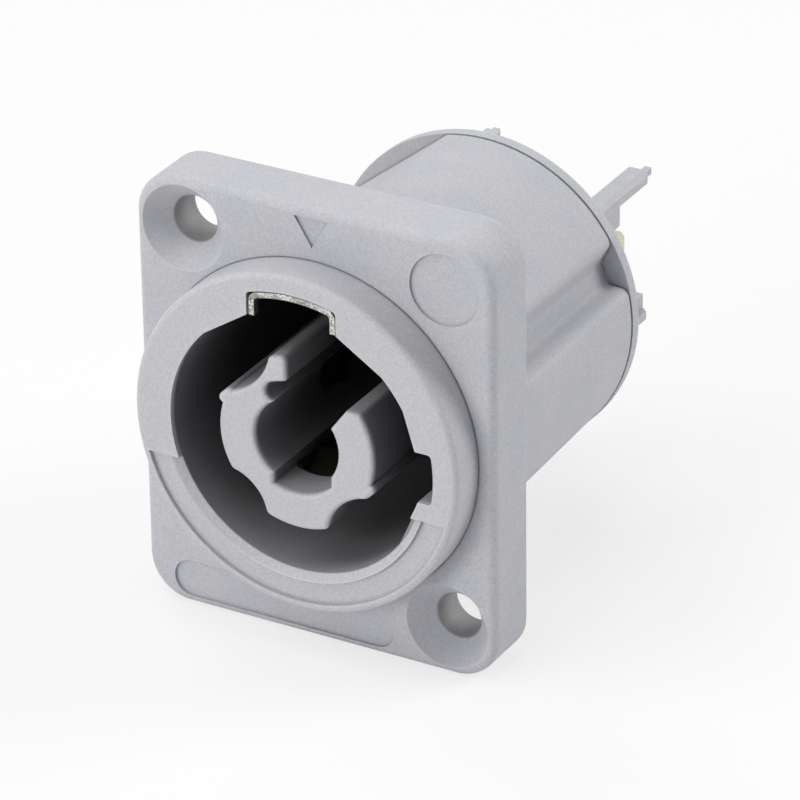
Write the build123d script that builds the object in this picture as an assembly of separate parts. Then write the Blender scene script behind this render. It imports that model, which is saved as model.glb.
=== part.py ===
from build123d import *
import math
import os

# Chassis power connector with a square flange, in millimetres.
# Seen from the front, +X is right and +Z is up. +Y runs into the equipment.
# The origin is on the mating axis, in the plane where the flange meets the panel.

# Mounting flange
flange_width = 26.0
flange_height = 31.0
flange_thickness = 4.2
flange_corner = 3.0
flange_edge = 0.6
screw_inset = 3.5
screw_hole_radius = 1.6
countersink_radius = 3.0
countersink_depth = 1.65

# Bare marks sunk into the flange's face
mark_depth = 0.2
arrow_width = 2.55
arrow_height = 2.05
arrow_margin = 0.7
disc_mark_radius = 2.5
bar_mark_length = 16.6
bar_mark_height = 2.7
bar_mark_shift = 2.7
bar_mark_margin = 0.55

# Collar in front of the flange, with a shallow crescent sunk into its lower half
flange_border = 1.15
collar_rise = 2.75
collar_edge = 0.4
collar_wall = 1.2
root_line_width = 0.09
root_line_depth = 0.1
crescent_lip = 0.55
crescent_rim = 0.53
crescent_depth = 0.3
crescent_drop = 3.05
lead_in = 0.45

# Slots of the bore: the latch slot at the top and the key slot at the right
latch_depth = 1.5
latch_width = 6.5
key_depth = 0.95
key_width = 3.56
slot_corner = 0.3

# Flats along the bore, by the angle of their middle
bore_flat_depth = 0.2
bore_flat_angles = (123.0, 57.0, 17.0, -24.0)

# Barrel behind the panel
barrel_length = 18.0
barrel_skin = 0.6
barrel_draft = 1.6
barrel_edge = 0.1
flat_angle = 128.0
flat_wall = 1.25
groove_bottom_wall = 0.9
groove_upper_angle = 25.2
groove_lower_angle = 15.9
groove_upper_slope = 63.0
groove_round = 0.5
groove_lip_round = 0.75

# Core of the contact insert
cavity_radius = 3.08
core_skin = 0.8
core_setback = 0.2
core_edge = 0.28
core_corner = 0.4
lobe_rise = 0.4
lobe_width = 4.9
rib_radius = 0.38
rib_depth = 0.22
rib_angle = 159.2
rib_spread_angle = 5.2

# Scallops round the core
upper_scallop_angle = 132.0
upper_scallop_radius = 4.04
upper_scallop_depth = 0.92
left_scallop_angle = 228.2
left_scallop_radius = 3.13
left_scallop_depth = 0.67
right_scallop_angle = 312.3
right_scallop_radius = 3.42
right_scallop_depth = 0.8

# Mouth of the core, between its arm and its right lobe
arm_face = 0.65
arm_height = 0.99
arm_corner = 0.2
mouth_angle = 33.8
mouth_slope = 53.0
lobe_top_rise = 0.12
notch_angle = 114.4
notch_depth = 0.545
notch_radius = 0.73

# Pocket in the core's bottom lobe, which shows the earth contact behind a lip
pocket_left = 1.75
pocket_right = 2.5
pocket_shift = 0.2
pocket_drop = 0.35
pocket_depth = 0.54
earth_lip = 2.9
live_lip = 8.5

# Plug and disc that close the barrel
socket_depth = 21.95
fit = 0.05
step_width = 0.75
step_height = 0.1
disc_overhang = 0.05
disc_thickness = 0.8

# Contacts, bent from brass strip
strip = 0.8
strip_bend = 0.6
window_wall = 0.92
live_width = 2.4
arch_foot = 0.6
arch_half = 2.2
arch_rise = 1.15
side_wall = 0.8
side_thickness = 0.4
tab_width = 4.8
tab_length = 7.7
tab_plane = 5.85
tab_tip_cut = 0.6
tab_hole_radius = 0.7
tab_hole_inset = 2.6
jog_run = 1.4
jog_cover = 0.6

# Guard posts and their webs on the disc
post_width = 1.4
post_height = 0.95
post_gap = 2.43
post_overhang = 2.4
post_bevel = 0.35
post_lean = 0.5
nib_length = 1.25
left_nib_length = 1.0
low_nib_length = 0.45
nib_width = 0.5
web_thickness = 1.0
web_inset = 0.7
web_gap = 0.44
low_web_gap = 1.4
low_web_overhang = 0.45
left_post_shift = 0.8
left_post_lift = 0.5

# Locking plate in the latch slot
plate_thickness = 0.38
plate_gap = 0.12
plate_bend = 0.7
plate_length = 9.0

# Planes across the mating axis
face_y = -flange_thickness
collar_y = face_y - collar_rise
core_y = collar_y + core_setback
floor_y = collar_y + socket_depth
step_y = barrel_length + step_height
disc_y = step_y + disc_thickness
tab_y = disc_y + tab_length

# Radii, from the collar inwards
collar_radius = flange_width / 2 - flange_border
latch_radius = collar_radius - collar_wall
bore_radius = latch_radius - latch_depth
key_radius = bore_radius + key_depth
barrel_radius = latch_radius + barrel_skin
disc_radius = barrel_radius + disc_overhang
lane = cavity_radius + window_wall + strip / 2
core_radius = lane + strip / 2 + fit + core_skin


def prism(section, start, end):
    """A section of the XZ plane, run along Y from start to end."""
    return Pos(0, start, 0) * extrude(Plane.XZ * section, amount=end - start, dir=(0, 1, 0))


def block(x0, x1, y0, y1, z0, z1):
    """A box between two corners."""
    return Pos(x0, y0, z0) * Box(x1 - x0, y1 - y0, z1 - z0, align=(Align.MIN, Align.MIN, Align.MIN))


def polar(radius, angle):
    """A point of the XZ plane."""
    return (radius * math.cos(math.radians(angle)), radius * math.sin(math.radians(angle)))


def slot(half_width, roof_radius):
    """A slot that stands up from the axis, with a round roof and softened corners."""
    section = Circle(roof_radius) & Pos(0, roof_radius / 2) * Rectangle(2 * half_width, roof_radius)
    corners = section.vertices().sort_by(Axis.Y)[-2:]
    return fillet(corners, slot_corner)


def bore_section(shrink):
    """The bore with its flats and both slots, smaller all round by shrink."""
    section = Circle(bore_radius - shrink)
    flat = bore_radius - bore_flat_depth - shrink
    for angle in bore_flat_angles:
        section -= Rot(0, 0, angle) * Pos(flat + bore_radius / 2, 0) * Rectangle(bore_radius, bore_radius)
    section += slot(latch_width / 2 - shrink, latch_radius - shrink)
    section += Rot(0, 0, -90) * slot(key_width / 2 - shrink, key_radius - shrink)
    return section


def barrel_body():
    """The tapered barrel with its flat and its groove, from inside the flange backwards."""
    start = -flange_thickness / 2
    root = barrel_radius + (barrel_length - start) * math.tan(math.radians(barrel_draft))
    profile = Polygon((0, start), (root, start), (barrel_radius, barrel_length), (0, barrel_length))
    body = revolve(profile, Axis.Y)
    flat = bore_radius - bore_flat_depth + flat_wall
    flat_cut = Rot(0, 0, flat_angle) * Pos(flat + root / 2, 0) * Rectangle(root, 2 * root)
    body -= prism(flat_cut, start, 2 * barrel_length)
    body -= prism(groove_section(root), start, 2 * barrel_length)
    lips = [edge for edge in body.edges() if is_groove_lip(edge)]
    body = fillet(lips, groove_lip_round)
    rim = body.faces().sort_by(Axis.Y)[-1].outer_wire().edges()
    return fillet(rim, barrel_edge)


def is_groove_lip(edge):
    """Whether an edge is one of the two where the groove meets the outside of the barrel."""
    place = edge.position_at(0.5)
    return edge.length > barrel_length and place.X > 0 and math.hypot(place.X, place.Z) > barrel_radius


def groove_section(reach):
    """The groove that runs along the barrel beside the key slot."""
    bottom = bore_radius - bore_flat_depth + groove_bottom_wall
    upper = polar(bottom, groove_upper_angle)
    lower = polar(bottom, groove_lower_angle)
    up = polar(reach, groove_upper_slope)
    outline = Polygon((upper[0] + up[0], upper[1] + up[1]), upper, lower, (lower[0] + reach, lower[1]))
    bends = outline.vertices().sort_by_distance(lower)[:2]
    return fillet(bends, groove_round)


def flange_body():
    """The flange with its softened front edge."""
    body = prism(RectangleRounded(flange_width, flange_height, flange_corner), face_y, 0)
    front = body.faces().sort_by(Axis.Y)[0]
    return fillet(front.edges(), flange_edge)


def collar_body():
    """The round collar with its softened front edge."""
    profile = Polygon((0, face_y / 2), (0, collar_y), (collar_radius, collar_y), (collar_radius, face_y / 2))
    rim = profile.vertices().sort_by_distance((collar_radius, collar_y))[0]
    return revolve(fillet(rim, collar_edge), Axis.Y)


def root_line():
    """The fine line round the collar where it stands on the flange."""
    ring = Circle(collar_radius + root_line_width) - Circle(collar_radius)
    return prism(ring, face_y - root_line_depth, face_y + root_line_depth)


def crescent_cut():
    """The crescent in the collar's face and the lead-in of the bore, both below the drop line."""
    inner = bore_radius + crescent_lip
    ring = Circle(collar_radius - crescent_rim) - Circle(inner)
    cut = prism(ring, collar_y - crescent_depth, collar_y + crescent_depth)
    cone = Pos(0, collar_y, 0) * Rot(-90, 0, 0) * Cone(inner, bore_radius, lead_in,
                                                       align=(Align.CENTER, Align.CENTER, Align.MIN))
    below = block(-collar_radius, collar_radius, 2 * collar_y, 0, -2 * collar_radius, -crescent_drop)
    return (cut + cone) & below


def screw_cut():
    """One countersunk screw hole, opening towards the front."""
    sink = Pos(0, face_y, 0) * Rot(-90, 0, 0) * Cone(countersink_radius, screw_hole_radius, countersink_depth,
                                                     align=(Align.CENTER, Align.CENTER, Align.MIN))
    return sink + prism(Circle(screw_hole_radius), 2 * face_y, flange_thickness)


def flange_marks():
    """The arrow over the latch slot and the two bare recesses."""
    arrow_z = flange_height / 2 - arrow_margin
    arrow = Polygon((-arrow_width / 2, arrow_z), (0, arrow_z - arrow_height), (arrow_width / 2, arrow_z))
    bar_z = -flange_height / 2 + bar_mark_margin + bar_mark_height / 2
    bar = Pos(-bar_mark_shift, bar_z) * SlotOverall(bar_mark_length, bar_mark_height)
    disc = Pos(flange_width / 2 - screw_inset, flange_height / 2 - screw_inset) * Circle(disc_mark_radius)
    return [prism(mark, face_y - mark_depth, face_y + mark_depth) for mark in (arrow, bar, disc)]


def make_housing():
    """The flange, collar and barrel, moulded in one."""
    body = flange_body() + collar_body() + barrel_body()
    body -= prism(bore_section(0), 2 * collar_y, 2 * barrel_length)
    body -= root_line()
    body -= crescent_cut()
    screw = (flange_width / 2 - screw_inset, flange_height / 2 - screw_inset)
    body -= Pos(-screw[0], 0, screw[1]) * screw_cut()
    body -= Pos(screw[0], 0, -screw[1]) * screw_cut()
    for mark in flange_marks():
        body -= mark
    return body


def scallop(angle, radius, depth):
    """The round cutter of one scallop in the core."""
    return Pos(*polar(core_radius - depth + radius, angle)) * Circle(radius)


def rib_foot():
    """The middle of the round end of a keying rib, at the corner of the scallop beside it."""
    return polar(core_radius - rib_depth, rib_angle - rib_spread_angle)


def rib_section():
    """One keying rib of the core."""
    tip = Pos(*polar(core_radius, rib_angle)) * Circle(rib_radius)
    foot = Pos(*rib_foot()) * Circle(rib_radius)
    return make_hull(tip.edges() + foot.edges())


def free_corner(point):
    """Whether a point of the core's outline is a corner on its rim that no rib covers."""
    here = (point.X, point.Y)
    there = (-point.X, -point.Y)
    on_rim = math.hypot(*here) > core_radius - core_edge
    return on_rim and min(math.dist(here, rib_foot()), math.dist(there, rib_foot())) > rib_radius


def core_section():
    """The C-shaped core with its scallops, mouth, notch and pocket."""
    top = core_radius + lobe_rise
    section = Circle(core_radius) + (Circle(top) & Rectangle(lobe_width, 2 * top))
    section -= scallop(upper_scallop_angle, upper_scallop_radius, upper_scallop_depth)
    section -= scallop(left_scallop_angle, left_scallop_radius, left_scallop_depth)
    section -= scallop(right_scallop_angle, right_scallop_radius, right_scallop_depth)
    mouth = polar(cavity_radius, mouth_angle)
    lobe_top = cavity_radius + lobe_top_rise
    flank = mouth[0] + (lobe_top - mouth[1]) / math.tan(math.radians(mouth_slope))
    notch = polar(cavity_radius + notch_depth, notch_angle)
    arm_low = notch[1] + arm_height
    section -= Polygon((-arm_face, 0), mouth, (flank, lobe_top), (2 * top, lobe_top),
                       (2 * top, 2 * top), (-arm_face, 2 * top))
    arm_end = Line((-arm_face, notch[1]), (-arm_face, arm_low))
    section -= make_hull((Pos(*notch) * Circle(notch_radius)).edges() + arm_end.edges())
    section -= Polygon((notch[0], 0), (-arm_face, 0), (-arm_face, notch[1]), notch)
    tip = section.vertices().sort_by_distance((-arm_face, arm_low))[0]
    section = fillet(tip, arm_corner)
    section = fillet([corner for corner in section.vertices() if free_corner(corner)], core_corner)
    section -= Circle(cavity_radius)
    pocket_x = (pocket_right - pocket_left) / 2
    pocket = Pos(-pocket_shift, pocket_drop) * Circle(cavity_radius + pocket_depth + pocket_drop)
    section -= pocket & Pos(pocket_x, -cavity_radius) * Rectangle(pocket_left + pocket_right, 2 * cavity_radius)
    return section


def core_body():
    """The core with its softened front edge and its two keying ribs."""
    section = core_section() + rib_section() + Rot(0, 0, 180) * rib_section()
    body = prism(section, core_y, floor_y + step_height)
    front = body.faces().sort_by(Axis.Y)[0]
    return fillet(front.edges(), core_edge)


def strip_body(points, thickness, width):
    """A bent strip whose middle line has the points (distance from the axis, y)."""
    line = FilletPolyline(*points, radius=strip_bend)
    return extrude(trace(line, line_width=thickness), amount=width / 2, both=True)


def tab_path():
    """The middle line of a contact's rear part, from the core's lane to the tab's tip."""
    start = floor_y + jog_cover
    return [(lane, start - strip), (lane, start), (tab_plane, start + jog_run), (tab_plane, tab_y)]


def make_contact(front, low, high, walls):
    """A contact on the +X side: sprung arch, jog and push-on tab.

    The arch starts at front and spans the heights low to high, with side walls if walls is true.
    """
    foot = front + arch_foot
    arch_end = foot + 2 * arch_half
    path = [(lane, front), (lane, foot), (lane - arch_rise, foot + arch_half), (lane, arch_end),
            (lane, floor_y + jog_cover)]
    body = Pos(0, 0, (low + high) / 2) * strip_body(path, strip, high - low)
    body += strip_body(tab_path(), strip, tab_width)
    if walls:
        inner = lane - strip / 2 - side_wall
        for edge in (low, high - side_thickness):
            body += block(inner, lane, front, arch_end, edge, edge + side_thickness)
    for side in (-1, 1):
        corner = Pos(tab_plane, tab_y, side * tab_width / 2) * Rot(45, 0, 0)
        body -= corner * Box(tab_width, tab_tip_cut * math.sqrt(2), tab_tip_cut * math.sqrt(2))
    hole = Pos(tab_plane, tab_y - tab_hole_inset, 0) * Rot(0, 90, 0)
    return body - hole * Cylinder(tab_hole_radius, 2 * strip)


def contact_room(front, low, high):
    """The room that a contact on the +X side needs in the insert."""
    thickness = strip + 2 * fit
    room = block(lane - thickness / 2, lane + thickness / 2, front - fit, floor_y + jog_cover,
                 low - fit, high + fit)
    return room + strip_body(tab_path(), thickness, tab_width + 2 * fit)


def guard_post(nib, web_end, gap):
    """A guard post at the upper right, with its nib and the web towards the tab.

    The nib stands out by nib, and the web ends at web_end and stays clear of the tab by gap.
    """
    x0 = tab_plane + strip / 2 + post_lean - post_width
    z0 = tab_width / 2 + post_gap
    end = tab_y + post_overhang
    section = Pos(x0 + post_width / 2, z0 + post_height / 2) * Rectangle(post_width, post_height)
    section = chamfer(section.vertices().sort_by(Axis((0, 0, 0), (1, 1, 0)))[-1], post_bevel)
    body = prism(section, step_y, end)
    nib_x = x0 + post_width - post_bevel
    nib_z = z0 + post_height - post_bevel
    body += block(nib_x - nib_width, nib_x, step_y, end + nib, nib_z - nib_width, nib_z)
    web_x = tab_plane + strip / 2
    web_z = tab_width / 2 + gap
    return body + block(web_x - web_thickness, web_x, step_y, web_end, web_z, z0 + post_height / 2)


def guard_posts():
    """The four guard posts round the tabs. The left pair stands nearer the middle and further apart."""
    low_web_end = tab_y + post_overhang + low_web_overhang
    upper_right = guard_post(nib_length, tab_y - web_inset, web_gap)
    lower_right = guard_post(low_nib_length, low_web_end, low_web_gap)
    left = mirror(guard_post(left_nib_length, tab_y - web_inset, web_gap), about=Plane.YZ)
    left = Pos(left_post_shift, 0, left_post_lift) * left
    return upper_right + left + mirror(lower_right + left, about=Plane.XY)


def make_insert():
    """The core, plug, disc and guard posts, moulded in one."""
    body = core_body() + prism(bore_section(fit), floor_y, step_y)
    body += prism(Circle(bore_radius + step_width), barrel_length, step_y)
    body += prism(Circle(disc_radius), step_y, disc_y)
    body += guard_posts()
    earth_front = core_y + earth_lip
    live_front = core_y + live_lip
    earth_floor = -lane - strip / 2 - fit
    body -= block(-pocket_left, pocket_right, earth_front, floor_y, earth_floor, -cavity_radius / 2)
    body -= Rot(0, 90, 0) * contact_room(floor_y, -pocket_left, pocket_right)
    live = contact_room(live_front, -live_width / 2, live_width / 2)
    window = live_width / 2 + fit
    live += block(0, lane, live_front, live_front + 2 * (arch_foot + arch_half), -window, window)
    for turn in (0, 180):
        body -= Rot(0, turn, 0) * live
    return body


def make_plate():
    """The locking plate: a bent strip that lines the latch slot."""
    outer = latch_width / 2 - plate_gap
    roof = latch_radius - plate_gap
    foot = math.sqrt(bore_radius ** 2 - (latch_width / 2) ** 2)
    shell = Circle(roof) & Pos(0, foot + roof / 2) * Rectangle(2 * outer, roof)
    shell = fillet(shell.vertices().sort_by(Axis.Y)[-2:], plate_bend)
    inside = Circle(roof - plate_thickness)
    inside &= Pos(0, roof / 2) * Rectangle(2 * (outer - plate_thickness), roof)
    inside = fillet(inside.vertices().sort_by(Axis.Y)[-2:], plate_bend - plate_thickness)
    return prism(shell - inside, collar_y + plate_gap, collar_y + plate_gap + plate_length)


def main():
    """Writes one file for each piece."""
    live_low = -live_width / 2
    live_front = core_y + live_lip + fit
    live = make_contact(live_front, live_low, -live_low, False)
    earth = make_contact(core_y + earth_lip + 2 * fit, -pocket_left + 2 * fit, pocket_right - 2 * fit, True)
    pieces = {
        "housing": make_housing(),
        "contact_insert": make_insert(),
        "locking_plate": make_plate(),
        "line_contact": Rot(0, 180, 0) * live,
        "neutral_contact": live,
        "earth_contact": Rot(0, 90, 0) * earth,
    }
    os.makedirs("parts", exist_ok=True)
    for name, piece in pieces.items():
        export_step(piece, f"parts/{name}.step")


main()
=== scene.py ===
"""Looks of a panel-mount power inlet: materials, sheared plate edge, studio and camera.

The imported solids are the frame. Lengths are in metres where nothing else is said, in the solids'
own axes: +X right, +Y into the equipment, +Z up, with the origin on the mating axis at the panel.
"""
import logging
import math
from dataclasses import dataclass
from enum import Enum

import bpy
import numpy as np
from mathutils import Matrix, Vector


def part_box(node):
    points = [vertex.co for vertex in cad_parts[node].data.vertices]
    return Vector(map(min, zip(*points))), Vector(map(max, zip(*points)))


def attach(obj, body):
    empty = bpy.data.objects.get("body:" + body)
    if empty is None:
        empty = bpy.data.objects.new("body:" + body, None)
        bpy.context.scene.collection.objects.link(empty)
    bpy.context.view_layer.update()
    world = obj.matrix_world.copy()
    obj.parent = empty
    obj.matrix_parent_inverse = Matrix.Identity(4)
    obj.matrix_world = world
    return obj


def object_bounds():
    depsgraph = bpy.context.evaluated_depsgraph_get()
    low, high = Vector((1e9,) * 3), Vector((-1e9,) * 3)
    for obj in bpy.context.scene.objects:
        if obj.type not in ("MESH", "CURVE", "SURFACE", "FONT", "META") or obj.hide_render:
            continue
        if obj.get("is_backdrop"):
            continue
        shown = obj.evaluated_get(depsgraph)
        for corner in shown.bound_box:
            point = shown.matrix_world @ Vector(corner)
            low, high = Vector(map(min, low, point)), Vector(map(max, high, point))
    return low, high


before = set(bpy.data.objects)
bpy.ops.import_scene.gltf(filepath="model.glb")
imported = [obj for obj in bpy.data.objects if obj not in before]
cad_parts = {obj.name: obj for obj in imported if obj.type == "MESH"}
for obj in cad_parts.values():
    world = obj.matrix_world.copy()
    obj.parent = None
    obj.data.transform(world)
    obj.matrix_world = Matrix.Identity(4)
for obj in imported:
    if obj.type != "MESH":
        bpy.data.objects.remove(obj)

Node = bpy.types.Node
Tree = bpy.types.NodeTree
Socket = bpy.types.NodeSocket
Material = bpy.types.Material
Colour = tuple[float, float, float]
LinearColour = tuple[float, float, float, float]
Point = tuple[float, float, float]
Span = tuple[float, float]

LOG = logging.getLogger("chassis_connector")
MM = 0.001
WHITE: LinearColour = (1.0, 1.0, 1.0, 1.0)

# Places of the two colours among a Mix node's inputs, and of the mixed one among its outputs
MIX_A, MIX_B, MIX_RESULT = 6, 7, 2


@dataclass(frozen=True)
class Places:
    """Where the openings lie in the solids, in metres.

    Half widths, roofs and radii are a hair past the walls' own, so that each wall lies inside.

    Attributes:
        bore: radius of the socket's bore.
        latch_half: half the width of the latch slot, over the bore.
        latch_roof: distance of that slot's roof from the mating axis.
        key_half: half the width of the key slot, at the bore's right.
        key_roof: distance of that slot's outer wall from the mating axis.
        barrel_end: how far back the socket's shade goes.
        screw_x: distance of the two screw holes from the mating axis, across.
        screw_z: the same, up or down.
        screw_hole: radius of a screw hole.
    """

    bore: float = 9.19 * MM
    latch_half: float = 3.28 * MM
    latch_roof: float = 10.7 * MM
    key_half: float = 1.81 * MM
    key_roof: float = 10.15 * MM
    barrel_end: float = 17.96 * MM
    screw_x: float = 9.5 * MM
    screw_z: float = 12.0 * MM
    screw_hole: float = 1.66 * MM


PLACES = Places()


# Colours and sockets


def linear(colour: Colour) -> LinearColour:
    """Turns a colour as seen on a screen into scene light, by the sRGB curve.

    Args:
        colour: red, green and blue from 0 to 255.

    Returns:
        The same colour in linear light, with an alpha of 1.
    """
    part = np.asarray(colour, float) / 255.0
    value = np.where(part <= 0.04045, part / 12.92, ((part + 0.055) / 1.055) ** 2.4)
    return (float(value[0]), float(value[1]), float(value[2]), 1.0)


class Sheet:
    """Adds nodes to one node tree and joins them."""

    def __init__(self, tree: Tree) -> None:
        """Keeps the tree.

        Args:
            tree: the node tree that this sheet fills.
        """
        self.tree = tree

    def add(self, kind: str, settings: dict | None = None, **inputs: object) -> Node:
        """Adds one node.

        Args:
            kind: Blender's name of the node type, without the ShaderNode prefix.
            settings: values of the node itself.
            **inputs: values or sockets for its inputs, with _ for a blank in a name.

        Returns:
            The new node.
        """
        node = self.tree.nodes.new("ShaderNode" + kind)
        for name, value in (settings or {}).items():
            setattr(node, name, value)
        for name, value in inputs.items():
            self.feed(node.inputs[name.replace("_", " ")], value)
        return node

    def feed(self, socket: Socket, value: object) -> None:
        """Sets a socket to a plain value, or links it to another node's output."""
        if isinstance(value, Socket):
            self.tree.links.new(value, socket)
        else:
            socket.default_value = value

    def math(self, operation: str, a: object, b: object = 0.0, c: object = 0.0) -> Socket:
        """Adds a Math node.

        Args:
            operation: Blender's name of the operation.
            a: first value or socket.
            b: second value or socket.
            c: third value or socket.

        Returns:
            The node's output.
        """
        node = self.tree.nodes.new("ShaderNodeMath")
        node.operation = operation
        for socket, value in zip(node.inputs, (a, b, c)):
            self.feed(socket, value)
        return node.outputs[0]

    def blend(self, share: object, a: object, b: object, mode: str = "MIX") -> Socket:
        """Mixes two colours.

        Args:
            share: how much of the second colour, from 0 to 1.
            a: first colour or socket.
            b: second colour or socket.
            mode: Blender's name of the blend.

        Returns:
            The mixed colour's socket.
        """
        node = self.tree.nodes.new("ShaderNodeMix")
        node.data_type = "RGBA"
        node.blend_type = mode
        self.feed(node.inputs["Factor"], share)
        self.feed(node.inputs[MIX_A], a)
        self.feed(node.inputs[MIX_B], b)
        return node.outputs[MIX_RESULT]

    def share(self, mask: Socket, most: float, a: object, b: object) -> Socket:
        """Mixes two colours by a mask.

        Args:
            mask: where the second colour shows.
            most: how much of it shows where the mask is 1.
            a: first colour or socket.
            b: second colour or socket.

        Returns:
            The mixed colour's socket.
        """
        return self.blend(self.math("MULTIPLY", mask, most), a, b)

    def range(self, value: object, span: Span,
              target: tuple[object, object] = (0.0, 1.0)) -> Socket:
        """Maps a value from one span to another, held at its ends.

        Args:
            value: the value's socket.
            span: its two ends.
            target: values or sockets for what the two ends become.

        Returns:
            The mapped value's socket.
        """
        node = self.add("MapRange", {"clamp": True}, Value=value, From_Min=span[0],
                        From_Max=span[1], To_Min=target[0], To_Max=target[1])
        return node.outputs[0]

    def vector(self, operation: str, a: object, b: object = (0.0, 0.0, 0.0)) -> Node:
        """Adds a Vector Math node.

        Args:
            operation: Blender's name of the operation.
            a: first vector or socket.
            b: second vector or socket, which some operations don't read.

        Returns:
            The node.
        """
        node = self.add("VectorMath", {"operation": operation})
        self.feed(node.inputs[0], a)
        self.feed(node.inputs[1], b)
        return node

    def mix(self, share: object, a: Socket, b: Socket) -> Socket:
        """Mixes two shaders.

        Args:
            share: how much of the second shader, from 0 to 1.
            a: first shader's socket.
            b: second shader's socket.

        Returns:
            The mixed shader's socket.
        """
        node = self.add("MixShader")
        for socket, value in zip(node.inputs, (share, a, b)):
            self.feed(socket, value)
        return node.outputs[0]

    def relief(self, shader: Node, strength: float, depth: float, height: Socket) -> None:
        """Gives a shader a fine relief.

        Args:
            shader: the shader node.
            strength: how much of the relief shows, from 0 to 1.
            depth: its depth in metres.
            height: the height's socket.
        """
        bump = self.add("Bump", Strength=strength, Distance=depth, Height=height)
        self.feed(shader.inputs["Normal"], bump.outputs["Normal"])


class Effect(Enum):
    """The shared surface effects, by the name of their node group."""

    GRAIN = "moulding_grain"
    EDGE_HIGHLIGHT = "painted_edge_highlight"
    CREVICE = "crevice_shade"
    SCRATCH = "drawn_scratches"
    SOCKET_SHADE = "bore_painted_shade"
    HOLE = "screw_hole_shade"


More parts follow.
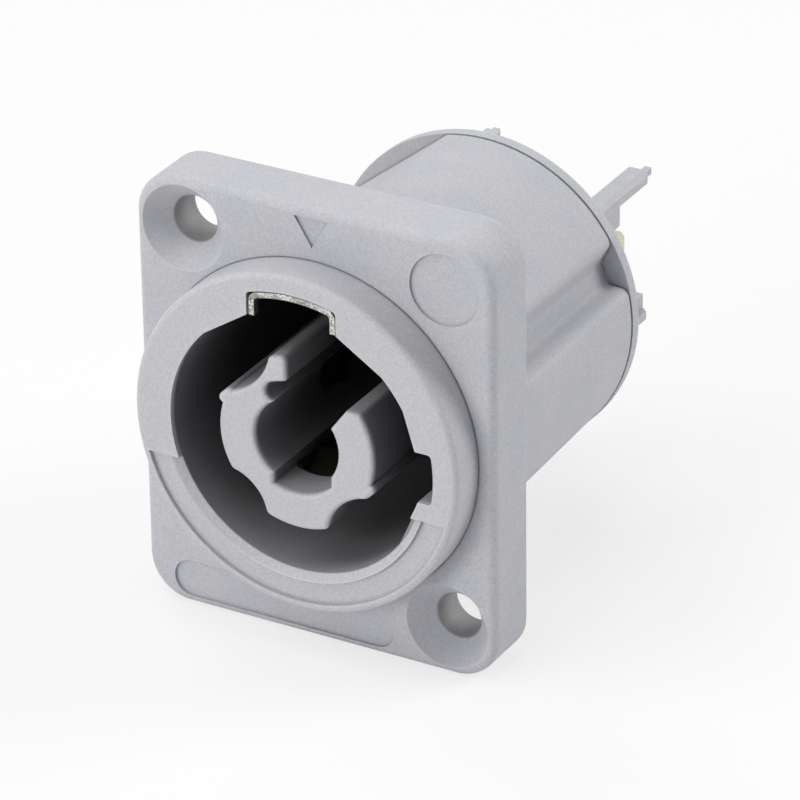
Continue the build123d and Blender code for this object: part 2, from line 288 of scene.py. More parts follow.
class Effects:
    """Builds each shared effect once, as a node group with named sockets."""

    def __init__(self) -> None:
        """Starts with no group built."""
        self.built: dict[Effect, Tree] = {}

    def place(self, sheet: Sheet, effect: Effect, **inputs: object) -> Node:
        """Puts an effect into a material.

        Args:
            sheet: the material's sheet.
            effect: which effect.
            **inputs: values or sockets for the group's inputs, with _ for a blank.

        Returns:
            The group node.
        """
        if effect not in self.built:
            maker = {
                Effect.GRAIN: self.make_grain,
                Effect.EDGE_HIGHLIGHT: self.make_edge_highlight,
                Effect.CREVICE: self.make_crevice,
                Effect.SCRATCH: self.make_scratch,
                Effect.SOCKET_SHADE: self.make_socket_shade,
                Effect.HOLE: self.make_hole,
            }[effect]
            self.built[effect] = maker(effect.value)
        node = sheet.tree.nodes.new("ShaderNodeGroup")
        node.node_tree = self.built[effect]
        for name, value in inputs.items():
            sheet.feed(node.inputs[name.replace("_", " ")], value)
        return node

    @staticmethod
    def open_group(name: str, inputs: dict[str, float | None],
                   outputs: tuple[str, ...]) -> tuple[Tree, Sheet, Node, Node]:
        """Starts a node group.

        Args:
            name: the group's name.
            inputs: input names and default values; None makes a vector input.
            outputs: names of the value outputs.

        Returns:
            The tree, its sheet, its input node and its output node.
        """
        tree = bpy.data.node_groups.new(name, "ShaderNodeTree")
        for label, value in inputs.items():
            kind = "NodeSocketVector" if value is None else "NodeSocketFloat"
            socket = tree.interface.new_socket(label, in_out="INPUT", socket_type=kind)
            if value is not None:
                socket.default_value = value
        for label in outputs:
            tree.interface.new_socket(label, in_out="OUTPUT", socket_type="NodeSocketFloat")
        source = tree.nodes.new("NodeGroupInput")
        return tree, Sheet(tree), source, tree.nodes.new("NodeGroupOutput")

    @classmethod
    def make_grain(cls, name: str) -> Tree:
        """Spark-eroded mould texture: fine noise for height, broad noise for mottle.

        Args:
            name: the group's name.

        Returns:
            The group, with Vector, Fine and Broad in, and Height and Mottle out.
        """
        tree, sheet, source, result = cls.open_group(
            name, {"Vector": None, "Fine": 9000.0, "Broad": 260.0}, ("Height", "Mottle"))
        where, small, large = (source.outputs[label] for label in ("Vector", "Fine", "Broad"))
        fine = sheet.add("TexNoise", Vector=where, Scale=small, Detail=2.0, Roughness=0.55)
        cells = sheet.add("TexVoronoi", {"feature": "SMOOTH_F1"}, Vector=where, Scale=small)
        pitting = -0.45
        height = sheet.math("MULTIPLY_ADD", cells.outputs["Distance"], pitting, fine.outputs["Fac"])
        broad = sheet.add("TexNoise", Vector=where, Scale=large, Detail=3.0, Roughness=0.5)
        sheet.feed(result.inputs["Height"], height)
        sheet.feed(result.inputs["Mottle"], broad.outputs["Fac"])
        return tree

    @classmethod
    def make_edge_highlight(cls, name: str) -> Tree:
        """Where the painted edge highlight goes: edges, found where the rounded normal leaves the
        true one.

        Args:
            name: the group's name.

        Returns:
            The group, with Radius in, and Mask out: 1 on an edge and 0 on a flat face.
        """
        tree, sheet, source, result = cls.open_group(name, {"Radius": 0.15 * MM}, ("Mask",))
        bevel = sheet.add("Bevel", {"samples": 4}, Radius=source.outputs["Radius"])
        geometry = sheet.add("NewGeometry")
        dot = sheet.vector("DOT_PRODUCT", bevel.outputs["Normal"], geometry.outputs["Normal"])
        flat_to_edge = (0.995, 0.88)
        sheet.feed(result.inputs["Mask"], sheet.range(dot.outputs["Value"], flat_to_edge))
        return tree

    @classmethod
    def make_crevice(cls, name: str) -> Tree:
        """Painted shade in inner corners and narrow gaps, found by how much of the near space is
        shut off.

        Args:
            name: the group's name.

        Returns:
            The group, with Distance in, and Mask out: 1 deep in a corner and 0 in the open.
        """
        tree, sheet, source, result = cls.open_group(name, {"Distance": 0.6 * MM}, ("Mask",))
        shade = sheet.add("AmbientOcclusion", {"samples": 6}, Distance=source.outputs["Distance"])
        shut_to_open = (0.35, 0.95)
        mask = sheet.range(shade.outputs["AO"], shut_to_open, (1.0, 0.0))
        sheet.feed(result.inputs["Mask"], mask)
        return tree

    @classmethod
    def make_socket_shade(cls, name: str) -> Tree:
        """Painted shade inside the socket, by how far a surface lies behind its mouth.

        A point is inside where it is nearer the axis than the bore's wall, or in one of its two
        slots. Two masks rise smoothly with the distance from the mouth, one fast and one slowly.
        Walls that face upwards get weaker masks, so less painted shade, where the light that falls
        in would reach them.

        Args:
            name: the group's name.

        Returns:
            The group, with Vector, Mouth, Brink, Reach and Upward in, and Near and Far out: both
            are 0 outside and at the mouth, Near is full after Brink and Far is full after Reach.
            Upward is what is left of both on a wall that faces straight up.
        """
        inputs = {"Vector": None, "Mouth": -6.6 * MM, "Brink": 0.5 * MM, "Reach": 9.0 * MM,
                  "Upward": 0.5}
        tree, sheet, source, result = cls.open_group(name, inputs, ("Near", "Far"))
        x, y, z = sheet.add("SeparateXYZ", Vector=source.outputs["Vector"]).outputs
        flat = sheet.add("CombineXYZ", X=x, Z=z)
        radius = sheet.vector("LENGTH", flat.outputs["Vector"]).outputs["Value"]
        bore = sheet.math("LESS_THAN", radius, PLACES.bore)
        latch = cls.slot_mask(sheet, x, z, radius, PLACES.latch_half, PLACES.latch_roof)
        key = cls.slot_mask(sheet, z, x, radius, PLACES.key_half, PLACES.key_roof)
        inside = sheet.math("MAXIMUM", bore, sheet.math("MAXIMUM", latch, key))
        inside = sheet.math("MULTIPLY", inside, sheet.math("LESS_THAN", y, PLACES.barrel_end))
        normal = sheet.add("SeparateXYZ", Vector=sheet.add("NewGeometry").outputs["Normal"])
        upright_to_up = (0.1, 0.95)
        facing = sheet.range(normal.outputs["Z"], upright_to_up, (1.0, source.outputs["Upward"]))
        inside = sheet.math("MULTIPLY", inside, facing)
        deep = sheet.math("SUBTRACT", y, source.outputs["Mouth"])
        for mask, depth in (("Near", "Brink"), ("Far", "Reach")):
            share = sheet.math("DIVIDE", deep, source.outputs[depth])
            smooth = sheet.add("MapRange", {"interpolation_type": "SMOOTHSTEP"}, Value=share)
            sheet.feed(result.inputs[mask], sheet.math("MULTIPLY", smooth.outputs[0], inside))
        return tree

    @staticmethod
    def slot_mask(sheet: Sheet, across: object, along: object, radius: object, half: float,
                  roof: float) -> Socket:
        """Points in a slot that stands out from the axis.

        Args:
            sheet: the group's sheet.
            across: the coordinate across the slot.
            along: the coordinate that grows outwards along it.
            radius: the distance from the axis.
            half: half the slot's width.
            roof: the distance of its roof from the axis.

        Returns:
            A mask: 1 in the slot and 0 elsewhere.
        """
        narrow = sheet.math("LESS_THAN", sheet.math("ABSOLUTE", across), half)
        under = sheet.math("MULTIPLY", narrow, sheet.math("LESS_THAN", radius, roof))
        return sheet.math("MULTIPLY", under, sheet.math("GREATER_THAN", along, 0.0))

    @classmethod
    def make_hole(cls, name: str) -> Tree:
        """Painted shade for the two screw holes' walls, by how near a point lies to either hole's
        axis.

        The holes lie at the upper left and the lower right, where X and Z have opposite signs.

        Args:
            name: the group's name.

        Returns:
            The group, with Vector and Width in, and Mask out: 1 in a hole and 0 elsewhere.
        """
        tree, sheet, source, result = cls.open_group(
            name, {"Vector": None, "Width": PLACES.screw_hole}, ("Mask",))
        x, _, z = sheet.add("SeparateXYZ", Vector=source.outputs["Vector"]).outputs
        signs = sheet.math("MULTIPLY", sheet.math("SIGN", x), sheet.math("SIGN", z))
        apart, near_enough = -1.0, 0.5
        opposite = sheet.math("COMPARE", signs, apart, near_enough)
        away_x = sheet.math("SUBTRACT", sheet.math("ABSOLUTE", x), PLACES.screw_x)
        away_z = sheet.math("SUBTRACT", sheet.math("ABSOLUTE", z), PLACES.screw_z)
        away = sheet.add("CombineXYZ", X=away_x, Z=away_z)
        distance = sheet.vector("LENGTH", away.outputs["Vector"]).outputs["Value"]
        near = sheet.math("LESS_THAN", distance, source.outputs["Width"])
        sheet.feed(result.inputs["Mask"], sheet.math("MULTIPLY", opposite, near))
        return tree

    @classmethod
    def make_scratch(cls, name: str) -> Tree:
        """Fine drawn lines on sheet metal: noise stretched along the strip.

        Args:
            name: the group's name.

        Returns:
            The group, with Vector, Across and Along in, and Lines out.
        """
        tree, sheet, source, result = cls.open_group(
            name, {"Vector": None, "Across": 9000.0, "Along": 500.0}, ("Lines",))
        scale = sheet.add("CombineXYZ", X=source.outputs["Across"], Y=source.outputs["Along"],
                          Z=source.outputs["Across"])
        spread = sheet.vector("MULTIPLY", source.outputs["Vector"], scale.outputs["Vector"])
        lines = sheet.add("TexNoise", Vector=spread.outputs["Vector"], Scale=1.0, Detail=3.0,
                          Roughness=0.6)
        sheet.feed(result.inputs["Lines"], lines.outputs["Fac"])
        return tree


# Finishes


@dataclass(frozen=True)
class MouldedPlastic:
    """Matte moulded plastic: fine grain, painted edge highlights, painted shade in corners, holes
    and socket.

    Attributes:
        name: the material's name.
        tone: the plastic's colour, from 0 to 255 as on a screen, like all colours here.
        cool: the colour that it mottles to.
        edge: colour of the painted highlight on the edges.
        corner: colour of the painted shade in inner corners and narrow gaps.
        front: colour of the faces furthest in front of the panel, a painted light level of their
            own.
        shaded: colour of the painted shade just behind the socket's mouth.
        deep: colour of the painted shade far inside the socket.
        hole: colour of the painted shade on the screw holes' walls.
        roughness: the middle of the roughness.
        specular: how strongly the plastic mirrors.
        grain: scale of the grain.
        grain_height: how much of its relief shows.
        grain_depth: depth of that relief.
        grain_span: heights between which the grain changes the tone.
        speck: what the tone is multiplied by at those two heights.
        mottle: scale of the mottle.
        mottle_span: its values where tone ends and where cool is reached.
        mottle_rough: how much it changes the roughness.
        edge_radius: how wide the painted edge highlights are.
        edge_share: how much of the painted highlight's colour shows.
        corner_reach: how far a corner's painted shade goes.
        corner_share: how much of it shows.
        hole_share: how much of the holes' painted shade shows.
        front_span: Y where the front's painted light level begins and where it is full.
        mouth: Y of the socket's mouth.
        brink: how far behind the mouth the painted shade reaches the colour shaded.
        reach: how far behind the mouth the painted shade reaches the colour deep.
    """

    name: str
    tone: Colour = (194.0, 193.0, 197.0)
    cool: Colour = (188.0, 190.0, 196.0)
    edge: Colour = (212.0, 212.0, 216.0)
    corner: Colour = (96.0, 97.0, 103.0)
    front: Colour = (194.0, 194.0, 198.0)
    shaded: Colour = (112.0, 112.0, 116.0)
    deep: Colour = (70.0, 70.0, 73.0)
    hole: Colour = (152.0, 151.0, 150.0)
    roughness: float = 0.56
    specular: float = 0.36
    grain: float = 6800.0
    grain_height: float = 0.2
    grain_depth: float = 0.02 * MM
    grain_span: Span = (0.1, 0.55)
    speck: Span = (0.9, 1.075)
    mottle: float = 260.0
    mottle_span: Span = (0.35, 0.65)
    mottle_rough: float = 0.1
    edge_radius: float = 0.16 * MM
    edge_share: float = 0.7
    corner_reach: float = 0.28 * MM
    corner_share: float = 0.4
    hole_share: float = 0.75
    front_span: Span = (-5.2 * MM, -6.6 * MM)
    mouth: float = -6.8 * MM
    brink: float = 0.45 * MM
    reach: float = 9.0 * MM

    def make(self, effects: Effects) -> Material:
        """Builds the material.

        Args:
            effects: the shared effects.

        Returns:
            The new material.
        """
        material, sheet, shader, where = open_material(self.name)
        grain = effects.place(sheet, Effect.GRAIN, Vector=where, Fine=self.grain, Broad=self.mottle)
        edge = effects.place(sheet, Effect.EDGE_HIGHLIGHT, Radius=self.edge_radius)
        corner = effects.place(sheet, Effect.CREVICE, Distance=self.corner_reach)
        mottle = sheet.range(grain.outputs["Mottle"], self.mottle_span)
        base = sheet.blend(mottle, linear(self.tone), linear(self.cool))
        place = sheet.add("SeparateXYZ", Vector=where)
        # Painted light level of the faces furthest in front of the panel.
        front_light = sheet.range(place.outputs["Y"], self.front_span)
        base = sheet.blend(front_light, base, linear(self.front))
        speck = sheet.range(grain.outputs["Height"], self.grain_span, self.speck)
        grey = sheet.add("CombineColor", Red=speck, Green=speck, Blue=speck)
        base = sheet.blend(1.0, base, grey.outputs[0], "MULTIPLY")
        # Painted highlight on the edges.
        base = sheet.share(edge.outputs["Mask"], self.edge_share, base, linear(self.edge))
        # Painted shade in inner corners and narrow gaps.
        base = sheet.share(corner.outputs["Mask"], self.corner_share, base, linear(self.corner))
        # Painted shade inside the socket: shaded just behind its mouth, deep far inside.
        depth = effects.place(sheet, Effect.SOCKET_SHADE, Vector=where, Mouth=self.mouth, Brink=self.brink,
                              Reach=self.reach)
        base = sheet.blend(depth.outputs["Near"], base, linear(self.shaded))
        base = sheet.blend(depth.outputs["Far"], base, linear(self.deep))
        # Painted shade on the screw holes' walls.
        hole = effects.place(sheet, Effect.HOLE, Vector=where)
        base = sheet.share(hole.outputs["Mask"], self.hole_share, base, linear(self.hole))
        sheet.feed(shader.inputs["Base Color"], base)
        least = self.roughness - self.mottle_rough / 2
        rough = sheet.math("MULTIPLY_ADD", grain.outputs["Mottle"], self.mottle_rough, least)
        sheet.feed(shader.inputs["Roughness"], rough)
        shader.inputs["Specular IOR Level"].default_value = self.specular
        sheet.relief(shader, self.grain_height, self.grain_depth, grain.outputs["Height"])
        return material


@dataclass(frozen=True)
class DrawnMetal:
    """Bright sheet metal with drawn lines, a slight tarnish, and painted shade in its corners and
    inside the socket.

    Attributes:
        name: the material's name.
        tone: the metal's colour, from 0 to 255 as on a screen.
        tarnish: the same where it is dull.
        roughness: the metal's, near the middle.
        across: scale of the lines across them.
        along: scale of the lines along them.
        patches: scale of the dull patches.
        patch_span: their values where the tarnish begins and where it is full.
        patch_share: how much of the tarnish shows in them.
        corner_reach: how far a corner's painted shade goes; it takes the tarnish's colour.
        corner_share: how much of it shows.
        deep: linear colour of the painted shade inside the socket.
        deep_share: how much of it shows.
        line_height: how much of the lines' relief shows.
        line_depth: depth of that relief.
        line_rough: how much the lines change the roughness.
        smoother: how far the smoothest line lies under the roughness.
    """

    name: str
    tone: Colour = (196.0, 196.0, 192.0)
    tarnish: Colour = (128.0, 126.0, 120.0)
    roughness: float = 0.34
    across: float = 9000.0
    along: float = 500.0
    patches: float = 420.0
    patch_span: Span = (0.42, 0.72)
    patch_share: float = 0.55
    corner_reach: float = 0.5 * MM
    corner_share: float = 0.5
    deep: LinearColour = (0.03, 0.029, 0.024, 1.0)
    deep_share: float = 0.9
    line_height: float = 0.25
    line_depth: float = 0.01 * MM
    line_rough: float = 0.22
    smoother: float = 0.1

    def make(self, effects: Effects) -> Material:
        """Builds the material.

        Args:
            effects: the shared effects.

        Returns:
            The new material.
        """
        material, sheet, shader, where = open_material(self.name)
        lines = effects.place(sheet, Effect.SCRATCH, Vector=where, Across=self.across,
                              Along=self.along)
        grain = effects.place(sheet, Effect.GRAIN, Vector=where, Fine=self.across,
                              Broad=self.patches)
        corner = effects.place(sheet, Effect.CREVICE, Distance=self.corner_reach)
        dull = sheet.range(grain.outputs["Mottle"], self.patch_span, (0.0, self.patch_share))
        base = sheet.blend(dull, linear(self.tone), linear(self.tarnish))
        # Painted shade in the corners, in the tarnish's colour.
        base = sheet.share(corner.outputs["Mask"], self.corner_share, base, linear(self.tarnish))
        # Painted shade inside the socket.
        depth = effects.place(sheet, Effect.SOCKET_SHADE, Vector=where, Upward=1.0)
        base = sheet.share(depth.outputs["Near"], self.deep_share, base, self.deep)
        sheet.feed(shader.inputs["Base Color"], base)
        shader.inputs["Metallic"].default_value = 1.0
        least = self.roughness - self.smoother
        rough = sheet.math("MULTIPLY_ADD", lines.outputs["Lines"], self.line_rough, least)
        sheet.feed(shader.inputs["Roughness"], rough)
        sheet.relief(shader, self.line_height, self.line_depth, lines.outputs["Lines"])
        return material


@dataclass(frozen=True)
class ShearedSteel:
    """The torn face that a press leaves on sheet steel: bright grains with dark pits.

    Attributes:
        name: the material's name.
        bright: colour of the grains, from 0 to 255 as on a screen.
        pit: colour of the pits and the dark patches.
        grains: scale of the grains.
        pits: scale of the pits.
        pit_span: their values where a pit is full and where it ends.
        pit_height: how much of their relief shows.
        pit_depth: depth of that relief.
        patches: scale of the dark patches.
        patch_span: their values where a patch begins and where it is full.
        patch_share: how dark a patch gets.
        metallic: how much of the face is bare metal.
        grain_span: heights between which the grains change the roughness.
        rough: the roughness at those two heights.
    """

    name: str
    bright: Colour = (216.0, 216.0, 212.0)
    pit: Colour = (112.0, 112.0, 108.0)
    grains: float = 14000.0
    pits: float = 7000.0
    pit_span: Span = (0.34, 0.6)
    pit_height: float = 0.5
    pit_depth: float = 0.02 * MM
    patches: float = 1100.0
    patch_span: Span = (0.5, 0.62)
    patch_share: float = 0.6
    metallic: float = 0.75
    grain_span: Span = (0.0, 0.6)
    rough: Span = (0.65, 0.4)

    def make(self, effects: Effects) -> Material:
        """Builds the material.

        Args:
            effects: the shared effects.

        Returns:
            The new material.
        """
        material, sheet, shader, where = open_material(self.name)
        grain = effects.place(sheet, Effect.GRAIN, Vector=where, Fine=self.grains, Broad=self.pits)
        pits = sheet.range(grain.outputs["Mottle"], self.pit_span, (1.0, 0.0))
        patch = effects.place(sheet, Effect.GRAIN, Vector=where, Fine=self.grains,
                              Broad=self.patches)
        dark = sheet.range(patch.outputs["Mottle"], self.patch_span, (0.0, self.patch_share))
        worn = sheet.blend(pits, linear(self.bright), linear(self.pit))
        sheet.feed(shader.inputs["Base Color"], sheet.blend(dark, worn, linear(self.pit)))
        shader.inputs["Metallic"].default_value = self.metallic
        rough = sheet.range(grain.outputs["Height"], self.grain_span, self.rough)
        sheet.feed(shader.inputs["Roughness"], rough)
        sheet.relief(shader, self.pit_height, self.pit_depth, grain.outputs["Mottle"])
        return material


def open_material(name: str) -> tuple[Material, Sheet, Node, Socket]:
    """Starts a material that reads Object coordinates.

    Args:
        name: the material's name.

    Returns:
        The material, its sheet, its Principled BSDF and the coordinate socket.
    """
    material = bpy.data.materials.new(name)
    material.use_nodes = True
    sheet = Sheet(material.node_tree)
    shader = material.node_tree.nodes["Principled BSDF"]
    where = sheet.add("TexCoord").outputs["Object"]
    return material, sheet, shader, where


def plain_sight(sheet: Sheet) -> Socket:
    """The share of a ray that comes from the camera, a reflection or a clear body."""
    path = sheet.add("LightPath")
    mirrored = sheet.math("MAXIMUM", path.outputs["Is Glossy Ray"],
                          path.outputs["Is Transmission Ray"])
    return sheet.math("MAXIMUM", path.outputs["Is Camera Ray"], mirrored)


def dress(node: str, material: Material) -> None:
    """Gives a CAD node its material.

    Args:
        node: the node's name.
        material: the finish.
    """
    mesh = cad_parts[node].data
    for index in range(max(1, len(mesh.materials))):
        if index < len(mesh.materials):
            mesh.materials[index] = material
        else:
            mesh.materials.append(material)
    LOG.info("dressed %s in %s", node, material.name)


# Meshes


def grid_mesh(name: str, points: np.ndarray, close_u: bool = False) -> bpy.types.Object:
    """Makes a mesh from a grid of points, with a quad between each four neighbours.

    Args:
        name: the object's name.
        points: array of shape (rows, columns, 3), in metres.
        close_u: True joins the last column to the first.

    Returns:
        The new object, linked to the scene, at the origin.
    """
    rows, columns = points.shape[:2]
    index = np.arange(rows * columns).reshape(rows, columns)
    across = np.roll(index, -1, axis=1) if close_u else index[:, 1:]
    here = index if close_u else index[:, :-1]
    quads = np.stack([here[:-1], across[:-1], across[1:], here[1:]], axis=-1).reshape(-1, 4)
    mesh = bpy.data.meshes.new(name)
    mesh.from_pydata(points.reshape(-1, 3).tolist(), [], quads.tolist())
    mesh.polygons.foreach_set("use_smooth", np.ones(len(quads), dtype=bool))
    mesh.update()
    made = bpy.data.objects.new(name, mesh)
    bpy.context.scene.collection.objects.link(made)
    return made


def ripple(a: np.ndarray, b: np.ndarray, seed: int, terms: int = 24,
           pitches: Span = (9.0, 46.0)) -> np.ndarray:
    """A rough surface: a sum of sine waves of random direction, length and phase.

    Args:
        a: first coordinate, in millimetres.
        b: second coordinate, in millimetres.
        seed: fixes the random choice.
        terms: how many waves.
        pitches: the waves' lowest and highest pitch, in radians a millimetre.

    Returns:
        Heights from about -1 to 1, of the same shape as a.
    """
    chance = np.random.default_rng(seed)
    turn = chance.uniform(0.0, 2.0 * np.pi, terms)
    pitch = chance.uniform(*pitches, terms)
    phase = chance.uniform(0.0, 2.0 * np.pi, terms)
    wave = np.sin(a[..., None] * pitch * np.cos(turn) + b[..., None] * pitch * np.sin(turn) + phase)
    return wave.sum(axis=-1) / math.sqrt(terms)


# Sub-assemblies


@dataclass
class Moulding:
    """A moulded CAD node and its finish."""

    node: str
    finish: MouldedPlastic

    def build(self, effects: Effects) -> None:
        """Dresses the moulded node."""
        dress(self.node, self.finish.make(effects))


@dataclass
class LockingPlate:
    """The bent steel plate in the latch slot, with its torn front edge.

    Attributes:
        node: the plate's CAD node.
        thickness: the plate's, in millimetres, as all lengths here.
        roof: distance of the roof's outer face from the mating axis.
        half_width: half the plate's width over its legs.
        bend: outer radius of a bend.
        foot: height of a leg's foot over the mating axis.
        relief: height of one step of roughness.
        rise: the middle of the roughness.
        rough_span: how far it goes below and above that.
        inset: keeps the torn edge inside the plate's own outline.
        lift: holds it off the plate's front.
        sunk: hides its rim below that front.
        end_steps: points over which it fades at each foot.
        seed: fixes the roughness.
        along: points along the middle line.
        across: points across the thickness.
        leg_points: points of a leg and of a bend, before they are evened out.
        roof_points: points of half the roof, before they are evened out.
    """

    node: str = "locking_plate"
    thickness: float = 0.38
    roof: float = 10.53
    half_width: float = 3.13
    bend: float = 0.7
    foot: float = 8.56
    relief: float = 0.018
    rise: float = 1.4
    rough_span: Span = (-1.3, 1.6)
    inset: float = 0.004
    lift: float = 0.002
    sunk: float = -0.01
    end_steps: float = 3.0
    seed: int = 7
    along: int = 340
    across: int = 16
    leg_points: int = 40
    roof_points: int = 80

    def centre_line(self) -> tuple[np.ndarray, np.ndarray]:
        """The plate's middle line in the XZ plane, in millimetres.

        The line is a left leg, a bend, the roof's arc about the axis, a bend and a right leg.
        Each bend is a quarter turn from straight down to the roof's slope.

        Returns:
            Points of shape (n, 2) at even steps, and unit normals that point outwards.
        """
        half = self.thickness / 2
        x = self.half_width - half
        radius = self.roof - half
        bend = self.bend - half
        tilt = math.asin((x - bend) / (radius - bend))
        centre = np.array([(radius - bend) * math.sin(tilt), (radius - bend) * math.cos(tilt)])
        count = self.leg_points
        leg = np.column_stack([np.full(count, x), np.linspace(self.foot, centre[1], count)])
        turn = np.linspace(0.0, np.pi / 2 - tilt, count)
        corner = centre + bend * np.column_stack([np.cos(turn), np.sin(turn)])
        sweep = np.linspace(tilt, 0.0, self.roof_points)
        roof = radius * np.column_stack([np.sin(sweep), np.cos(sweep)])
        right = np.concatenate([leg, corner[1:], roof[1:]])
        left = right[::-1][1:] * np.array([-1.0, 1.0])
        line = np.concatenate([right, left])
        step = np.r_[0.0, np.cumsum(np.hypot(*np.diff(line, axis=0).T))]
        even = np.linspace(0.0, step[-1], self.along)
        line = np.column_stack([np.interp(even, step, side) for side in line.T])
        run = np.gradient(line, axis=0)
        run /= np.hypot(run[:, :1], run[:, 1:])
        return line, np.column_stack([run[:, 1], -run[:, 0]])

    def build(self, effects: Effects) -> None:
        """Dresses the plate and lays the torn edge on its front.

        The edge is a grid: first parameter along the middle line, second across the thickness.
        Its height over the plate's front is a rounded hump across, times a random ripple.
        """
        dress(self.node, DrawnMetal("plate_steel").make(effects))
        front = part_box(self.node)[0].y / MM
        line, outward = self.centre_line()
        share = np.linspace(-1.0, 1.0, self.across)
        half = self.thickness / 2 - self.inset
        place = line[None, :, :] + share[:, None, None] * half * outward[None, :, :]
        hump = np.sqrt(np.clip(1.0 - share ** 2, 0.0, 1.0))[:, None]
        rough = np.clip(ripple(place[..., 0], place[..., 1], self.seed), *self.rough_span)
        step = np.arange(self.along)
        fade = np.clip(np.minimum(step, step[::-1]) / self.end_steps, 0.0, 1.0)
        bulge = hump * fade[None, :]
        height = bulge * self.relief * (self.rise + rough) + self.lift
        height = np.where(bulge <= 0.0, self.sunk, height)
        points = np.stack([place[..., 0], front - height, place[..., 1]], axis=-1) * MM
        edge = grid_mesh("plate_sheared_edge", points)
        edge.data.materials.append(ShearedSteel("sheared_steel").make(effects))
        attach(edge, "root")
        LOG.info("laid plate_sheared_edge, %d points", points.shape[0] * points.shape[1])


@dataclass
class Contacts:
    """The brass contacts."""

    nodes: tuple[str, ...] = ("line_contact", "neutral_contact", "earth_contact")
    tone: Colour = (208.0, 203.0, 174.0)
    tarnish: Colour = (150.0, 143.0, 112.0)
    roughness: float = 0.32

    def build(self, effects: Effects) -> None:
        """Dresses every contact in the same lightly plated brass."""
        finish = DrawnMetal("contact_brass", self.tone, self.tarnish, self.roughness)
        material = finish.make(effects)
        for node in self.nodes:
            dress(node, material)


# Studio


def heading(turn: float, rise: float) -> Point:
    """The unit vector from the object towards a place around it.

    Args:
        turn: the place's azimuth in radians: 0 in front of the object, a quarter turn at its right.
        rise: the place's elevation in radians.

    Returns:
        The vector's three coordinates.
    """
    level = math.cos(rise)
    return (math.sin(turn) * level, -math.cos(turn) * level, math.sin(rise))


@dataclass(frozen=True)
class Lamp:
    """One soft square lamp that looks at the object.

    Azimuth 0 stands in front of the object and 90 at its right. Both angles are in degrees, and
    the distance, the side and the aim are in metres.
    """

    name: str
    azimuth: float
    elevation: float
    power: float
    colour: Colour = (1.0, 1.0, 1.0)
    distance: float = 0.6
    side: float = 0.3
    aim: Point = (0.0, 0.004, 0.0)

    def build(self) -> None:
        """Hangs the lamp and turns it towards its aim."""
        turn, rise = math.radians(self.azimuth), math.radians(self.elevation)
        away = Vector(heading(turn, rise))
        light = bpy.data.lights.new(self.name, "AREA")
        light.shape = "SQUARE"
        light.size = self.side
        light.energy = self.power
        light.color = self.colour
        lamp = bpy.data.objects.new(self.name, light)
        lamp.location = away * self.distance
        lamp.rotation_euler = (Vector(self.aim) - lamp.location).to_track_quat("-Z", "Y").to_euler()
        bpy.context.scene.collection.objects.link(lamp)


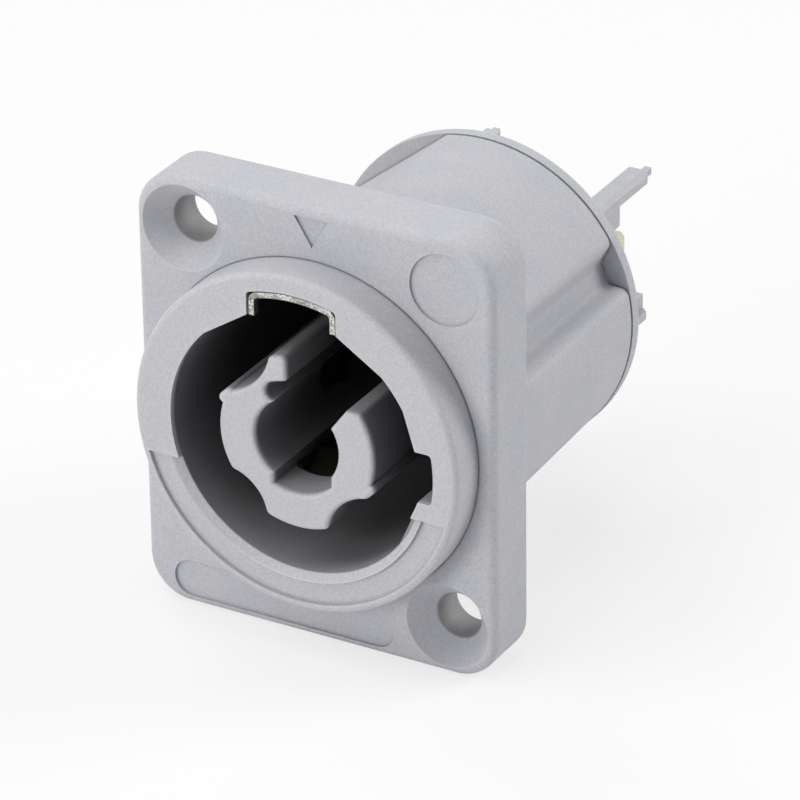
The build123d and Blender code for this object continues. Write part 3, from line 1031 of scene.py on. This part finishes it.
@dataclass
class Studio:
    """Soft lamps, a plain world and a pale floor."""

    ambient: float = 0.03
    ambient_tint: LinearColour = (0.96, 0.98, 1.0, 1.0)
    floor_reach: float = 1.2
    floor_white: float = 0.7
    floor_tone: float = 0.9
    floor_roughness: float = 0.9
    floor_rings: int = 12
    floor_spokes: int = 64
    lamps: tuple[Lamp, ...] = (
        Lamp("front_left", -15.0, 18.0, 1.56),
        Lamp("upper_left", -50.0, 50.0, 1.05),
        Lamp("back_left", -120.0, 50.0, 0.85),
        Lamp("top", 0.0, 85.0, 1.1, (0.995, 0.995, 1.0)),
        Lamp("back_right", 130.0, 30.0, 1.9, (0.99, 0.993, 1.0)),
    )

    def build(self) -> None:
        """Sets up the world, the lamps and the floor."""
        self.make_world()
        for lamp in self.lamps:
            lamp.build()
        self.make_floor()
        scene = bpy.context.scene
        scene.view_settings.view_transform = "Standard"
        LOG.info("studio ready with %d lamps", len(self.lamps))

    def make_world(self) -> None:
        """A white world to the camera and in reflections, and a weak fill elsewhere."""
        world = bpy.data.worlds.new("studio")
        bpy.context.scene.world = world
        world.use_nodes = True
        tree = world.node_tree
        tree.nodes.clear()
        sheet = Sheet(tree)
        seen = plain_sight(sheet)
        fill = sheet.add("Background", Color=self.ambient_tint, Strength=self.ambient)
        white = sheet.add("Background", Color=WHITE, Strength=1.0)
        sheet.add("OutputWorld", Surface=sheet.mix(seen, fill.outputs[0], white.outputs[0]))

    def make_floor(self) -> None:
        """A round pale floor under the flange.

        The floor is a polar grid: rings of growing radius times an angle, at one height.
        """
        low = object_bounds()[0].z
        ring = np.linspace(0.0, self.floor_reach, self.floor_rings)[:, None]
        angle = np.linspace(0.0, 2.0 * np.pi, self.floor_spokes, endpoint=False)[None, :]
        level = np.full((self.floor_rings, self.floor_spokes), low)
        points = np.stack([ring * np.cos(angle), ring * np.sin(angle), level], axis=-1)
        floor = grid_mesh("floor", points, close_u=True)
        material, sheet, shader, _ = open_material("pale_floor")
        shader.inputs["Base Color"].default_value = (self.floor_tone,) * 3 + (1.0,)
        shader.inputs["Roughness"].default_value = self.floor_roughness
        shader.inputs["Specular IOR Level"].default_value = 0.0
        glow = sheet.add("Emission", Color=WHITE, Strength=1.0)
        share = sheet.math("MULTIPLY", plain_sight(sheet), self.floor_white)
        result = material.node_tree.nodes["Material Output"]
        sheet.feed(result.inputs["Surface"], sheet.mix(share, shader.outputs[0], glow.outputs[0]))
        floor.data.materials.append(material)
        floor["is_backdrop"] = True


@dataclass(frozen=True)
class PhotoCamera:
    """The camera of the photograph, solved from the flange's outline.

    Angles are in degrees. The distance, the target and the sensor are in millimetres, and the clip
    distances in metres.
    """

    azimuth: float = 29.757
    elevation: float = 27.674
    roll: float = -0.780
    distance: float = 340.064
    target: Point = (6.244, -4.2, 3.556)
    focal_pixels: float = 5402.36
    frame_pixels: float = 800.0
    sensor: float = 36.0
    clip: Span = (0.01, 10.0)

    def build(self) -> None:
        """Places the camera and makes it the scene's own."""
        turn, rise, roll = (math.radians(v) for v in (self.azimuth, self.elevation, self.roll))
        view = -np.array(heading(turn, rise))
        side = np.cross(view, [0.0, 0.0, 1.0])
        side /= np.linalg.norm(side)
        above = np.cross(side, view)
        right = math.cos(roll) * side + math.sin(roll) * above
        up = -math.sin(roll) * side + math.cos(roll) * above
        place = (np.array(self.target) - view * self.distance) * MM
        camera = bpy.data.objects.new("camera", bpy.data.cameras.new("camera"))
        camera.data.sensor_width = self.sensor
        camera.data.lens = self.focal_pixels * self.sensor / self.frame_pixels
        camera.data.clip_start, camera.data.clip_end = self.clip
        turned = np.column_stack([right, up, -view, place])
        camera.matrix_world = Matrix([*turned, (0.0, 0.0, 0.0, 1.0)])
        bpy.context.scene.collection.objects.link(camera)
        bpy.context.scene.camera = camera


def main() -> None:
    """Builds the camera, the studio and every piece."""
    logging.basicConfig(level=logging.INFO, format="%(name)s: %(message)s")
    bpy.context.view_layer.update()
    PhotoCamera().build()
    Studio().build()
    effects = Effects()
    Moulding("housing", MouldedPlastic("housing_plastic")).build(effects)
    insert = MouldedPlastic("insert_plastic", tone=(195.0, 195.0, 198.0), mouth=-6.58 * MM)
    Moulding("contact_insert", insert).build(effects)
    LockingPlate().build(effects)
    Contacts().build(effects)


if __name__ == "__main__":
    main()
